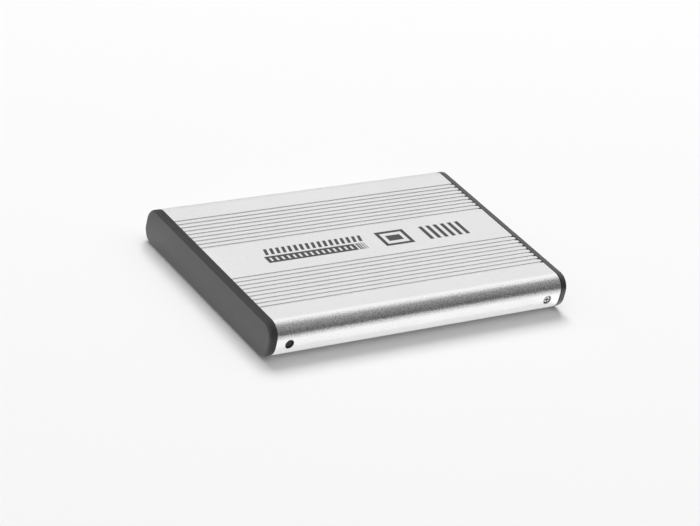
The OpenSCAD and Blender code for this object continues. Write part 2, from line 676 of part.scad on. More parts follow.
module parking_ramp() color([0.9, 0.9, 0.88]) on_arm() union() {
  translate([slope_r, -ramp_half, arm_low + head_t])
    cube([slope_w, 2*ramp_half, arm_high - arm_low - 2*head_t]);
  translate([slope_r + slope_w - 0.1, -ramp_half + 0.5, floor_z])
    cube([block_r - slope_r - slope_w + 0.1, 2*ramp_half - 1, arm_high - head_t - floor_z]);
}

module flex_bracket() color([0.75, 0.76, 0.78]) at_pivot() union() {
  box(-15.4, -7.2, 10.4, 19, floor_z, disk_z - 0.5);
  box(-11.4, -8.4, 10.4, 11.4, disk_z - 0.6, disk_top + 0.46);
}

module flex_cable() color([0.75, 0.45, 0.12]) at_pivot() translate([-11.2, 3.6, 0])
  sector(6.5, 6.8, 0, 90, disk_z - 0.4, disk_top + 0.36);

module air_filter() color([0.92, 0.92, 0.9]) in_drive()
  box(pivot_x - 2.4, pivot_x + 7.6, -chamber_half + 0.8, -chamber_half + 4.2, floor_z, base_h - 0.6);

module drive_board() color([0.08, 0.32, 0.2]) in_drive() difference() {
  box(board_x, plug_x, -board_half, board_half, board_z, board_z + board_t);
  for (p = board_fix) translate([p[0], p[1], 0]) rod(0.85, 0, 2, $fn = 32);
}

module drive_plug() color([0.08, 0.08, 0.09]) in_drive() union() {
  box(plug_x, plug_x + 1.3, plug_y - plug_half, plug_y + plug_half, 0.5, blade_z + 2.45);
  for (s = [-1, 1]) box(plug_x, plug_x + plug_bay - 0.1, plug_y + s*(plug_half - 0.25) - 0.25,
    plug_y + s*(plug_half - 0.25) + 0.25, 0.5, blade_z + 2.45);
  for (b = blades) {
    box(plug_x + 1, plug_x + plug_bay - 0.1, plug_y + b[0], plug_y + b[1], blade_z, blade_z + 1.2);
    box(plug_x + 1, plug_x + plug_bay - 0.1, plug_y + b[0], plug_y + b[0] + 1.1, blade_z + 1, blade_z + 1.75);
  }
}

module plug_contacts() color([0.85, 0.7, 0.32]) in_drive()
  for (y = concat(pins(blades[0], 7), pins(blades[1], 15)))
    box(plug_x + 1.3, plug_x + plug_bay - 0.4, y - 0.35, y + 0.35, blade_z - 0.12, blade_z);

module drive_chips() color([0.07, 0.07, 0.08]) in_drive() translate([board_x, 0, board_z + board_t])
  for (c = chip_spots) translate([c[0], c[1], 0]) cube([c[2], c[3], chip_t]);

module drive_board_screws() color([0.75, 0.76, 0.78]) in_drive() for (p = board_fix)
  translate([p[0], p[1], board_z]) mirror([0, 0, 1]) cross_screw(3, 0.28, 1.6, 1.6, $fn = 32);

body_sleeve();
plain_end_cap();
port_end_cap();
cap_screws();
bridge_board();
sata_socket();
socket_pins();
usb_shell();
usb_tongue();
usb_contacts();
bridge_chip();
memory_chip();
crystal();
board_capacitors();
status_led();
light_guide();
board_screws();
foam_pads();
drive_base();
cover_gasket();
drive_cover();
cover_screws();
spindle_bearing();
motor_stator();
stator_coils();
spindle_hub();
rotor_magnet();
platter();
platter_clamp();
clamp_screw();
pivot_post();
actuator_arm();
pivot_bearing();
voice_coil();
head_suspensions();
read_heads();
lower_yoke();
lower_magnet();
upper_yoke();
upper_magnet();
yoke_posts();
parking_ramp();
flex_bracket();
flex_cable();
air_filter();
drive_board();
drive_plug();
plug_contacts();
drive_chips();
drive_board_screws();
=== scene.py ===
# %% [markdown]
# # A pocket disk drive in a grooved aluminium case
#
# The object is a flat, silver external drive: an extruded sleeve with fine grooves along it, closed by two
# dark plastic end caps, with a small disk drive and its bridge board inside. The engineering model already
# holds every solid at its real size, so this lesson is about looks: a camera, a floor, soft light, and a
# finish for each piece. Everything is in metres, +X runs along the case and +Z is up.

# %% Load the model
import math
import bpy
import bmesh
from mathutils import Matrix, Vector


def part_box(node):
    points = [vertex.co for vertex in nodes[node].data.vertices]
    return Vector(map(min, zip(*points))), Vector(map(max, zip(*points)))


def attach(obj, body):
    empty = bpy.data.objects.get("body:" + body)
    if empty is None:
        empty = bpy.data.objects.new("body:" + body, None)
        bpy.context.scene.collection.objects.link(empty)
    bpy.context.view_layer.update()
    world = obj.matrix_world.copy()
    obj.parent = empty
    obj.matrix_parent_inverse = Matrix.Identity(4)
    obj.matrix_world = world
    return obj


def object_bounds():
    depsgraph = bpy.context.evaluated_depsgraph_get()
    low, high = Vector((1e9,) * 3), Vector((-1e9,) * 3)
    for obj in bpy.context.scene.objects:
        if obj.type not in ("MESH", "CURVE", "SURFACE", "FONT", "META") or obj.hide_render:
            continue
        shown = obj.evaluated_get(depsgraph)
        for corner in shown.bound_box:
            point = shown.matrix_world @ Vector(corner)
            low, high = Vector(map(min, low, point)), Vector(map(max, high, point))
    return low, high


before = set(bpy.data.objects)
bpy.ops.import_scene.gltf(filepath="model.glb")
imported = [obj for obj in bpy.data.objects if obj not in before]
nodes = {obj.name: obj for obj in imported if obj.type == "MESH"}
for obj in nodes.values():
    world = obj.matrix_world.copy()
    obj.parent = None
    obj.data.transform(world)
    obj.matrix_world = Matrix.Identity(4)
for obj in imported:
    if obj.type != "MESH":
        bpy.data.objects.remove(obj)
cad_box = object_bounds()
print("pieces in the model:", len(nodes))

# %% [markdown]
# ## The camera
#
# A photograph is easier to match when the camera comes first. The case was measured in the picture: its
# four long edges, the grooves and the two ends give the direction, the distance and the lens. The camera
# looks down from the front left, and it is tilted a little about its own axis, so the case seems to climb
# to the right. A camera can be placed by two angles and a distance, or by a full matrix. The matrix is used
# here, because the tilt is part of the measurement.

# %% Camera
camera_place = Vector((-0.495125, -0.573181, 0.423321))
camera_right = Vector((0.812090, -0.544674, 0.209380))
camera_up = Vector((0.124946, 0.512797, 0.849369))
camera_back = camera_right.cross(camera_up)

camera_data = bpy.data.cameras.new("camera")
camera_data.sensor_width = 36.0
camera_data.lens = 136.121
camera = bpy.data.objects.new("camera", camera_data)
bpy.context.scene.collection.objects.link(camera)
turn = Matrix((camera_right, camera_up, camera_back)).transposed().to_4x4()
camera.matrix_world = Matrix.Translation(camera_place) @ turn
bpy.context.scene.camera = camera
print("camera distance to the case:", round(camera_place.length, 3), "m")

# %% [markdown]
# ## A node shelf
#
# Every finish below is built from shader nodes, and a few short helpers keep the cells readable. `feed` gives
# a socket either a number or the output of another node. `add_node` adds a node and feeds its sockets by
# name, `add_math` and `add_ramp` do the same for sums and for ramps from one pair of numbers to another, and
# `object_place` gives the point on the piece in the piece's own coordinates. The last three start a material,
# start a node group and place it. A group is a shared effect that several finishes use with different
# numbers.

# %% Helpers for nodes
def feed(tree, socket, entry):
    if isinstance(entry, bpy.types.NodeSocket):
        tree.links.new(entry, socket)
    else:
        socket.default_value = entry


def add_node(tree, kind, **values):
    node = tree.nodes.new(kind)
    for name, value in values.items():
        label = name.replace("_", " ")
        if label in node.inputs:
            feed(tree, node.inputs[label], value)
        else:
            setattr(node, name, value)
    return node


def add_math(tree, operation, *entries, clamp=False):
    node = add_node(tree, "ShaderNodeMath", operation=operation, use_clamp=clamp)
    for socket, entry in zip(node.inputs, entries):
        feed(tree, socket, entry)
    return node.outputs["Value"]


def add_ramp(tree, value, low, high, at_low=0.0, at_high=1.0):
    node = add_node(tree, "ShaderNodeMapRange", Value=value, From_Min=low, From_Max=high,
                    To_Min=at_low, To_Max=at_high)
    return node.outputs["Result"]


def object_place(tree):
    return add_node(tree, "ShaderNodeTexCoord").outputs["Object"]


def start_finish(name):
    finish = bpy.data.materials.new(name)
    finish.use_nodes = True
    tree = finish.node_tree
    shader = next(n for n in tree.nodes if n.type == "BSDF_PRINCIPLED")
    return finish, tree, shader


def start_group(name, inputs, outputs):
    group = bpy.data.node_groups.new(name, "ShaderNodeTree")
    for label, value in inputs:
        socket = group.interface.new_socket(name=label, in_out="INPUT", socket_type="NodeSocketFloat")
        socket.default_value = value
    for label in outputs:
        group.interface.new_socket(name=label, in_out="OUTPUT", socket_type="NodeSocketFloat")
    given = add_node(group, "NodeGroupInput").outputs
    result = add_node(group, "NodeGroupOutput").inputs
    return group, given, result


def place_group(tree, group, **values):
    return add_node(tree, "ShaderNodeGroup", node_tree=group, **values)


print("helpers ready")

# %% [markdown]
# ## Grain
#
# Blasted metal, moulded plastic and foam all have a fine, even roughness of the surface. It could be
# modelled, but the bumps are smaller than a tenth of a millimetre, so a noise that drives a Bump node is the
# usual way. The group takes the number of grains in a metre and gives three things: a height, slow patches
# that a finish can use to vary its colour, and a few lighter flecks. It reads object coordinates, so the
# grain stays on a piece that moves.

# %% Group: grain
coarse_scale = 0.45
coarse_share = 0.5
fleck_start, fleck_full = 0.52, 0.74

grain, grain_in, grain_out = start_group(
    "grain", [("Fine", 4000.0), ("Slow", 60.0), ("Flecks", 0.5)], ["Height", "Patches", "Fleck"])
spot = object_place(grain)
fine = add_node(grain, "ShaderNodeTexNoise", Vector=spot, Scale=grain_in["Fine"], Detail=3.0, Roughness=0.65)
slow = add_node(grain, "ShaderNodeTexNoise", Vector=spot, Scale=grain_in["Slow"], Detail=2.0, Roughness=0.5)
half_scale = add_math(grain, "MULTIPLY", grain_in["Fine"], coarse_scale)
coarse = add_node(grain, "ShaderNodeTexNoise", Vector=spot, Scale=half_scale, Detail=1.0, Roughness=0.5)
height = add_math(grain, "MULTIPLY_ADD", coarse.outputs["Fac"], coarse_share, fine.outputs["Fac"])
fleck = add_ramp(grain, coarse.outputs["Fac"], fleck_start, fleck_full)
feed(grain, grain_out["Height"], height)
feed(grain, grain_out["Patches"], slow.outputs["Fac"])
feed(grain, grain_out["Fleck"], add_math(grain, "MULTIPLY", fleck, grain_in["Flecks"]))
print("grain group sockets:", len(grain.interface.items_tree))

# %% [markdown]
# ## Lines
#
# Rolled, extruded and ground metal keeps marks of how it was made, mostly fine lines one way. The group
# stretches a noise along X and puts out a mask from 0 to 1, which a finish mixes into its colour and height.

# %% Group: drawn lines
lines, lines_in, lines_out = start_group("drawn_lines", [("Across", 3000.0), ("Along", 12.0)], ["Mask"])
scales = add_node(lines, "ShaderNodeCombineXYZ", X=lines_in["Along"], Y=lines_in["Across"],
                  Z=lines_in["Across"])
stretch = add_node(lines, "ShaderNodeVectorMath", operation="MULTIPLY")
feed(lines, stretch.inputs[0], object_place(lines))
feed(lines, stretch.inputs[1], scales.outputs["Vector"])
streaks = add_node(lines, "ShaderNodeTexNoise", Vector=stretch.outputs["Vector"], Scale=1.0, Detail=3.0,
                   Roughness=0.6)
feed(lines, lines_out["Mask"], streaks.outputs["Fac"])
print("line group sockets:", len(lines.interface.items_tree))

# %% [markdown]
# ## Specks of painted shade, and painted light in the grooves
#
# Glass beads leave small dents, and each dent tips the mirror a little. On a flat face that shows as a faint
# salt, but on a rounded edge, where the reflection runs from white to dark in a few millimetres, every dent
# shows. Bump alone could do it, yet dents smaller than a pixel are averaged away. So this group paints specks
# of shade into the colour, faint on the flats and strong on the rounded edges, which also darkens those edges
# on the whole: the dents are real, their dark is painted shade. It finds those edges by two distances, across
# from the middle of the case and up from the middle of its height. Below the top face the same group makes
# the colour a little brighter, painted light that lifts the shade in the grooves.

# %% Group: painted speck shade and groove light
case_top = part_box("body_sleeve")[1][2]
half_height = cad_box[1][2] / 2
fade_across, fade_up, groove_fade = 0.0030, 0.0013, 0.0001
dent_start, dent_full = 0.60, 0.40
# painted light: how much brighter the colour is made inside the grooves
groove_painted_light = 0.16

speck_shade_groove_light, specks_in, specks_out = start_group(
    "speck_shade_groove_light", [("Fine", 2300.0), ("On flat", 0.05), ("On edge", 0.5), ("From side", 0.033),
               ("From middle", 0.0013)], ["Shade"])
spot = object_place(speck_shade_groove_light)
axes = add_node(speck_shade_groove_light, "ShaderNodeSeparateXYZ", Vector=spot).outputs


def past(source, start, fade):
    beyond = add_math(speck_shade_groove_light, "SUBTRACT", source, start)
    return add_math(speck_shade_groove_light, "DIVIDE", beyond, fade, clamp=True)


at_side = past(add_math(speck_shade_groove_light, "ABSOLUTE", axes["Y"]), specks_in["From side"], fade_across)
upper = past(add_math(speck_shade_groove_light, "SUBTRACT", axes["Z"], half_height), specks_in["From middle"], fade_up)
on_edge = add_math(speck_shade_groove_light, "MULTIPLY", at_side, upper)
strength = add_node(speck_shade_groove_light, "ShaderNodeMix", data_type="FLOAT", Factor=on_edge, A=specks_in["On flat"],
                    B=specks_in["On edge"]).outputs["Result"]
dents = add_node(speck_shade_groove_light, "ShaderNodeTexNoise", Vector=spot, Scale=specks_in["Fine"], Detail=1.5,
                 Roughness=0.6)
dent = add_ramp(speck_shade_groove_light, dents.outputs["Fac"], dent_full, dent_start, 1.0, 0.0)
# painted shade: the dark specks multiply the colour down, most on the rounded edge
shade = add_math(speck_shade_groove_light, "SUBTRACT", 1.0, add_math(speck_shade_groove_light, "MULTIPLY", strength, dent))
# painted light: below the top face, inside the grooves, the colour is made brighter
depth = add_math(speck_shade_groove_light, "SUBTRACT", case_top, axes["Z"])
sunk = add_math(speck_shade_groove_light, "DIVIDE", depth, groove_fade, clamp=True)
on_top = add_math(speck_shade_groove_light, "MULTIPLY", add_math(speck_shade_groove_light, "SUBTRACT", 1.0, at_side), upper)
groove_light_mask = add_math(speck_shade_groove_light, "MULTIPLY", sunk, on_top)
feed(speck_shade_groove_light, specks_out["Shade"], add_math(speck_shade_groove_light, "MULTIPLY_ADD", groove_light_mask, groove_painted_light, shade))
print("speck group sockets:", len(speck_shade_groove_light.interface.items_tree))

# %% [markdown]
# ## A rim of painted shade that changes along the case
#
# The two caps aren't the same all over: the outer rim of one is matt with painted shade in its colour, and
# the other has a painted shadow, a dark line along the seam where it meets the sleeve. Both are a change
# along X, so one group serves both. It takes where the change starts and where it is full, and gives a mask
# and a painted shade to multiply the colour by.

# %% Group: rim
rim, rim_in, rim_out = start_group("rim", [("Start", 0.0), ("Full", 0.001), ("Dark", 0.4)], ["Mask", "Shade"])
axes = add_node(rim, "ShaderNodeSeparateXYZ", Vector=object_place(rim)).outputs
change = add_ramp(rim, axes["X"], rim_in["Start"], rim_in["Full"])
# painted shade: the colour is made darker where the mask is full
dark = add_math(rim, "MULTIPLY", change, rim_in["Dark"])
feed(rim, rim_out["Mask"], change)
feed(rim, rim_out["Shade"], add_math(rim, "SUBTRACT", 1.0, dark))
print("rim group sockets:", len(rim.interface.items_tree))

# %% [markdown]
# ## One recipe for most finishes
#
# A real finish differs from its neighbours in a few numbers: two colours that patches mix, how metallic and
# how rough it is, how deep its grain goes and how fine that grain is. The recipe below wires the grain group
# and the line group into a Principled shader. Colour, roughness and normal change over the surface and are
# linked. What is the same all over, such as the coat, is set on the shader's own socket. Three small helpers
# follow it: one multiplies a finish's colour by the painted shade of a group, one makes a rim matt and paints
# shade into its colour, and one puts a finish on the pieces that are named.

# %% The recipe
coat_rough = 0.15
line_stretch = 14.0


def make_finish(name, light, dark, metal, rough, rough_spread=0.08, grain_fine=4000.0, grain_slow=60.0,
                grain_depth=0.00002, line_across=0.0, line_share=0.3, flecks=0.0, coat=0.0, bump=0.35,
                specular=0.5):
    finish, tree, shader = start_finish(name)
    surface = place_group(tree, grain, Fine=grain_fine, Slow=grain_slow, Flecks=flecks).outputs
    height, patches = surface["Height"], surface["Patches"]
    if line_across:
        mask = place_group(tree, lines, Across=line_across, Along=line_stretch).outputs["Mask"]
        height, patches = (
            add_node(tree, "ShaderNodeMix", data_type="FLOAT", Factor=line_share, A=plain, B=mask)
            .outputs["Result"] for plain in (height, patches))
    colour = add_node(tree, "ShaderNodeMix", data_type="RGBA", Factor=patches, A=(*dark, 1.0),
                      B=(*light, 1.0)).outputs["Result"]
    if flecks:
        colour = add_node(tree, "ShaderNodeMix", data_type="RGBA", blend_type="SCREEN",
                          Factor=surface["Fleck"], A=colour, B=(*light, 1.0)).outputs["Result"]
    roughness = add_ramp(tree, patches, 0.0, 1.0, rough - rough_spread, rough + rough_spread)
    tilt = add_node(tree, "ShaderNodeBump", Distance=grain_depth, Strength=bump, Height=height)
    feed(tree, shader.inputs["Base Color"], colour)
    feed(tree, shader.inputs["Roughness"], roughness)
    feed(tree, shader.inputs["Normal"], tilt.outputs["Normal"])
    shader.inputs["Metallic"].default_value = metal
    shader.inputs["Specular IOR Level"].default_value = specular
    if coat:
        shader.inputs["Coat Weight"].default_value = coat
        shader.inputs["Coat Roughness"].default_value = coat_rough
    return finish


# multiplies a finish's colour by the painted shade of a group
def shade_colour(finish, group, **values):
    tree = finish.node_tree
    shader = next(n for n in tree.nodes if n.type == "BSDF_PRINCIPLED")
    placed = place_group(tree, group, **values)
    colour = shader.inputs["Base Color"].links[0].from_socket
    darker = add_node(tree, "ShaderNodeMix", data_type="RGBA", blend_type="MULTIPLY", Factor=1.0, A=colour,
                      B=placed.outputs["Shade"])
    feed(tree, shader.inputs["Base Color"], darker.outputs["Result"])
    return shader, placed


# painted shade: darkens the rim's colour through the rim group, and makes it matt
def matt_rim_painted_shade(finish, start, full, dark, rough=0.85):
    shader, placed = shade_colour(finish, rim, Start=start, Full=full, Dark=dark)
    tree = finish.node_tree
    roughness = shader.inputs["Roughness"].links[0].from_socket
    matt = add_node(tree, "ShaderNodeMix", data_type="FLOAT", Factor=placed.outputs["Mask"], A=roughness,
                    B=rough)
    feed(tree, shader.inputs["Roughness"], matt.outputs["Result"])


def dress(finish, *names):
    for name in names:
        for slot in nodes[name].material_slots:
            slot.material = finish
    print(finish.name, "->", ", ".join(names))


# %% [markdown]
# ## The sleeve: blasted, clear anodised aluminium
#
# The sleeve is pushed through a die, blasted with glass beads and anodised clear. It reads as an almost white
# silver where it mirrors light, and as a grainy grey along the rounded edge, where it mirrors the dark side
# of the room. Bare metal with a middling roughness does most of this by itself. The grain's bump is kept
# gentle, and the speck group paints dark specks of shade into the colour of that edge, and painted light into
# the grooves.

# %% Finish: blasted aluminium
blasted = make_finish(
    "blasted_aluminium", light=(0.87, 0.87, 0.87), dark=(0.79, 0.79, 0.79), metal=1.0, rough=0.29,
    rough_spread=0.04, grain_fine=4200.0, grain_slow=45.0, grain_depth=0.00004, bump=0.60)
# painted shade specks on the rounded edge, and painted light in the grooves
shade_colour(blasted, speck_shade_groove_light, Fine=2300.0, On_flat=0.05, On_edge=0.43, From_side=0.0335, From_middle=0.0013)
dress(blasted, "body_sleeve")

# %% [markdown]
# ## The end caps: satin dark plastic
#
# Both caps are moulded in a dark grey plastic with a fine spark-eroded texture. Such plastic could be one
# dark colour with a gloss, but it would look like paint. Slow patches in the colour and in the roughness,
# and a grain finer than the metal's, give it the depth of a moulding. The rim group then makes the edge of
# the plain cap matt and paints shade into its colour, and paints a dark shadow line along the seam of the
# port cap. The places come from the boxes of the pieces.

# %% Finish: cap plastic
def cap_finish(name):
    return make_finish(
        name, light=(0.034, 0.034, 0.035), dark=(0.025, 0.025, 0.026), metal=0.0, rough=0.36,
        rough_spread=0.05, grain_fine=6500.0, grain_slow=90.0, grain_depth=0.00002, bump=0.30, specular=0.72)


plain_cap_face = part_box("plain_end_cap")[0][0]
port_cap_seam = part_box("body_sleeve")[1][0]
plain_plastic = cap_finish("plain_cap_plastic")
port_plastic = cap_finish("port_cap_plastic")
# painted shade: the outer rim of the plain cap is darkened in colour
matt_rim_painted_shade(plain_plastic, start=plain_cap_face + 0.0002, full=plain_cap_face + 0.0008, dark=0.35, rough=0.70)
# painted shadow: a dark line in the colour along the port cap's seam with the sleeve
matt_rim_painted_shade(port_plastic, start=port_cap_seam + 0.0005, full=port_cap_seam + 0.0003, dark=0.80)
dress(plain_plastic, "plain_end_cap")
dress(port_plastic, "port_end_cap")

# %% [markdown]
# ## Screws
#
# The two side screws are nickel plated and bright. The small screws inside are zinc plated, duller and
# slightly blue.

# %% Finish: screws
bright_plate = make_finish(
    "bright_plate", light=(0.60, 0.60, 0.61), dark=(0.44, 0.44, 0.45), metal=1.0, rough=0.14,
    rough_spread=0.05, grain_fine=9000.0, grain_slow=700.0, grain_depth=0.00001, bump=0.25)
zinc_plate = make_finish(
    "zinc_plate", light=(0.66, 0.68, 0.71), dark=(0.52, 0.54, 0.58), metal=1.0, rough=0.32,
    grain_fine=8000.0, grain_slow=900.0, grain_depth=0.00001)
dress(bright_plate, "cap_screws")
dress(zinc_plate, "board_screws", "cover_screws", "clamp_screw", "drive_board_screws")

# %% [markdown]
# ## Boards, chips and contacts
#
# A circuit board is glass cloth under a green lacquer, so its colour has a faint weave and its surface a thin
# gloss coat. Chips are moulded in a black resin with a matt, sandy face. The contacts are gold plated, and
# the socket's shell is tin plated sheet with lines from rolling.

# %% Finishes: electronics
board_lacquer = make_finish(
    "board_lacquer", light=(0.020, 0.150, 0.075), dark=(0.010, 0.095, 0.048), metal=0.0, rough=0.34,
    grain_fine=2600.0, grain_slow=900.0, grain_depth=0.00002, line_across=2200.0, line_share=0.35, coat=0.4)
chip_resin = make_finish(
    "chip_resin", light=(0.030, 0.030, 0.033), dark=(0.016, 0.016, 0.018), metal=0.0, rough=0.55,
    grain_fine=9000.0, grain_slow=500.0, grain_depth=0.00002, flecks=0.06)
gold_plate = make_finish(
    "gold_plate", light=(0.93, 0.72, 0.33), dark=(0.80, 0.58, 0.24), metal=1.0, rough=0.22,
    grain_fine=9000.0, grain_slow=900.0, grain_depth=0.00001)
tin_sheet = make_finish(
    "tin_sheet", light=(0.80, 0.80, 0.80), dark=(0.66, 0.66, 0.67), metal=1.0, rough=0.28,
    grain_fine=7000.0, grain_slow=400.0, grain_depth=0.00001, line_across=5000.0, line_share=0.5)
ceramic_tan = make_finish(
    "ceramic_tan", light=(0.52, 0.36, 0.21), dark=(0.38, 0.25, 0.14), metal=0.0, rough=0.45,
    grain_fine=9000.0, grain_slow=900.0, grain_depth=0.00001)
dress(board_lacquer, "bridge_board", "drive_board")
dress(chip_resin, "sata_socket", "usb_tongue", "bridge_chip", "memory_chip", "drive_plug", "drive_chips")
dress(gold_plate, "socket_pins", "usb_contacts", "plug_contacts")
dress(tin_sheet, "usb_shell", "crystal")
dress(ceramic_tan, "board_capacitors")

# %% [markdown]
# ## Clear plastic and foam
#
# The light guide is a clear rod that carries the glow of a small lamp to the cap's face. Glass nodes would
# do, but it is only two millimetres across and backed by the dark cap, so a milky gloss plastic is closer to
# the look. The foam pads that hold the drive are closed-cell strips, almost black and quite rough.

# %% Finishes: clear plastic and foam
milky_clear = make_finish(
    "milky_clear", light=(0.86, 0.89, 0.92), dark=(0.74, 0.78, 0.82), metal=0.0, rough=0.16,
    grain_fine=3000.0, grain_slow=700.0, grain_depth=0.00001, coat=0.3)
foam_strip = make_finish(
    "foam_strip", light=(0.045, 0.045, 0.048), dark=(0.018, 0.018, 0.020), metal=0.0, rough=0.85,
    grain_fine=2400.0, grain_slow=300.0, grain_depth=0.00020, flecks=0.10, bump=0.8)
dress(milky_clear, "status_led", "light_guide")
dress(foam_strip, "foam_pads", "cover_gasket")

# %% [markdown]
# ## Inside the drive
#
# The drive's base is die cast, its cover is stamped sheet, and the moving parts are machined or ground. They
# share the recipe with their own numbers: a casting is patchy and sandy, a turned hub is bright with fine
# lines, a winding is enamelled copper with close lines, and the disk itself is polished to a mirror.

# %% Finishes: drive metals
cast_alloy = make_finish(
    "cast_alloy", light=(0.58, 0.59, 0.61), dark=(0.44, 0.45, 0.47), metal=1.0, rough=0.48,
    grain_fine=2600.0, grain_slow=150.0, grain_depth=0.00006, flecks=0.10, bump=0.6)
cover_sheet = make_finish(
    "cover_sheet", light=(0.74, 0.745, 0.755), dark=(0.64, 0.645, 0.66), metal=1.0, rough=0.33,
    grain_fine=5000.0, grain_slow=80.0, grain_depth=0.00002, line_across=3600.0, line_share=0.6)
machined_alloy = make_finish(
    "machined_alloy", light=(0.80, 0.80, 0.81), dark=(0.68, 0.68, 0.70), metal=1.0, rough=0.25,
    grain_fine=8000.0, grain_slow=300.0, grain_depth=0.00001, line_across=6000.0, line_share=0.5)
ground_steel = make_finish(
    "ground_steel", light=(0.66, 0.67, 0.69), dark=(0.52, 0.53, 0.56), metal=1.0, rough=0.28,
    grain_fine=8000.0, grain_slow=300.0, grain_depth=0.00001, line_across=7000.0, line_share=0.4)
stator_steel = make_finish(
    "stator_steel", light=(0.34, 0.35, 0.37), dark=(0.22, 0.23, 0.25), metal=1.0, rough=0.42,
    grain_fine=5000.0, grain_slow=400.0, grain_depth=0.00002, line_across=9000.0, line_share=0.5)
magnet_plate = make_finish(
    "magnet_plate", light=(0.52, 0.53, 0.55), dark=(0.40, 0.41, 0.43), metal=1.0, rough=0.30,
    grain_fine=5000.0, grain_slow=200.0, grain_depth=0.00001)
mirror_disk = make_finish(
    "mirror_disk", light=(0.90, 0.905, 0.92), dark=(0.86, 0.865, 0.88), metal=1.0, rough=0.05,
    rough_spread=0.02, grain_fine=9000.0, grain_slow=60.0, grain_depth=0.000001, bump=0.1)
copper_winding = make_finish(
    "copper_winding", light=(0.78, 0.36, 0.16), dark=(0.55, 0.22, 0.09), metal=1.0, rough=0.34,
    grain_fine=6000.0, grain_slow=600.0, grain_depth=0.00003, line_across=8000.0, line_share=0.7, coat=0.3)
dress(cast_alloy, "drive_base")
dress(cover_sheet, "drive_cover")
dress(machined_alloy, "spindle_hub", "platter_clamp", "actuator_arm", "flex_bracket")
dress(ground_steel, "spindle_bearing", "pivot_post", "pivot_bearing", "head_suspensions", "lower_yoke",
      "upper_yoke", "yoke_posts")
dress(stator_steel, "motor_stator")
dress(magnet_plate, "rotor_magnet", "lower_magnet", "upper_magnet")
dress(mirror_disk, "platter")
dress(copper_winding, "stator_coils", "voice_coil")

# %% Finishes: small plastics of the drive
head_ceramic = make_finish(
    "head_ceramic", light=(0.050, 0.050, 0.058), dark=(0.025, 0.025, 0.030), metal=0.0, rough=0.18,
    grain_fine=9000.0, grain_slow=900.0, grain_depth=0.00001, coat=0.3)
natural_resin = make_finish(
    "natural_resin", light=(0.80, 0.78, 0.72), dark=(0.68, 0.65, 0.58), metal=0.0, rough=0.45,
    grain_fine=6000.0, grain_slow=400.0, grain_depth=0.00002)
amber_film = make_finish(
    "amber_film", light=(0.66, 0.34, 0.06), dark=(0.50, 0.22, 0.03), metal=0.0, rough=0.22,
    grain_fine=5000.0, grain_slow=300.0, grain_depth=0.00001, line_across=5000.0, line_share=0.5, coat=0.4)
dress(head_ceramic, "read_heads")
dress(natural_resin, "parking_ramp", "air_filter")
dress(amber_film, "flex_cable")

# %% [markdown]
# ## The printed marks
#
# The flat band between the two groups of grooves carries a dark print. Here it is a set of plain shapes: a
# barred bar, a row of slanted blocks, a frame round a block, and six columns. They say nothing, because the
# case has no maker. Print could be painted in the sleeve's material, but a thin sheet of ink, a fiftieth of
# a millimetre thick, keeps a sharp edge at any size and can be moved as an object. Each mark is a four-sided
# polygon that is given a little thickness.

# %% Helper: a sheet of ink
ink = make_finish(
    "printed_ink", light=(0.050, 0.050, 0.051), dark=(0.036, 0.036, 0.037), metal=0.0, rough=0.55,
    grain_fine=5200.0, grain_slow=500.0, grain_depth=0.00002, flecks=0.05)


def ink_sheet(name, outlines, thick=0.00002, per_metre=1000):
    mesh = bpy.data.meshes.new(name)
    build = bmesh.new()
    for outline in outlines:
        bottom = [build.verts.new((x / per_metre, y / per_metre, case_top)) for x, y in outline]
        top = [build.verts.new((x / per_metre, y / per_metre, case_top + thick)) for x, y in outline]
        build.faces.new(list(reversed(bottom)))
        build.faces.new(top)
        for i in range(len(outline)):
            j = (i + 1) % len(outline)
            build.faces.new((bottom[i], bottom[j], top[j], top[i]))
    bmesh.ops.recalc_face_normals(build, faces=build.faces)
    build.to_mesh(mesh)
    build.free()
    sheet = bpy.data.objects.new(name, mesh)
    bpy.context.scene.collection.objects.link(sheet)
    mesh.materials.append(ink)
    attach(sheet, "enclosure")
    print(name, "has", len(mesh.polygons), "faces")


# %% The marks
def slab(x0, x1, y0, y1, slant=0.0):
    return [(x0, y0), (x1, y0), (x1 + slant, y1), (x0 + slant, y1)]


def row(count, start, pitch, wide, y0, y1, slant=0.0):
    return [slab(start + pitch * i, start + pitch * i + wide, y0, y1, slant) for i in range(count)]


bar_left, bar_right, bar_low, bar_high = -38.5, -3.6, -3.8, -0.2
bar_rim, block, gaps, bar_ends = 0.85, 1.35, 15, 4
bar_inner = (bar_low + bar_rim, bar_high - bar_rim)
step = (bar_right - bar_left - block) / gaps
bar = [slab(bar_left, bar_right, bar_low, bar_inner[0]), slab(bar_left, bar_right, bar_inner[1], bar_high)]
bar += row(gaps + 1, bar_left, step, block, *bar_inner)
end_gap, end_pitch, end_wide, end_thinner = 0.7, 1.0, 0.6, 0.12
for i in range(bar_ends):
    end_left = bar_right + end_gap + end_pitch * i
    bar.append(slab(end_left, end_left + end_wide - end_thinner * i, bar_low, bar_high))

square_left, square_right, square_low, square_high = 7.4, 19.0, -4.2, 4.1
square_side, square_rail = 1.4, 1.1
square_inner = (square_low + square_rail, square_high - square_rail)
square = [slab(square_left, square_right, square_inner[1], square_high),
          slab(square_left, square_right, square_low, square_inner[0]),
          slab(square_left, square_left + square_side, *square_inner),
          slab(square_right - square_side, square_right, *square_inner)]
square.append(slab(x0=10.3, x1=16.1, y0=-1.6, y1=1.5))
ink_sheet("printed_bar", bar)
ink_sheet("printed_hatch", row(count=17, start=-37.2, pitch=2.3, wide=1.2, y0=0.7, y1=4.0, slant=0.9))
ink_sheet("printed_frame", square)
ink_sheet("printed_columns", row(count=6, start=25.6, pitch=3.0, wide=1.5, y0=-3.9, y1=3.9))

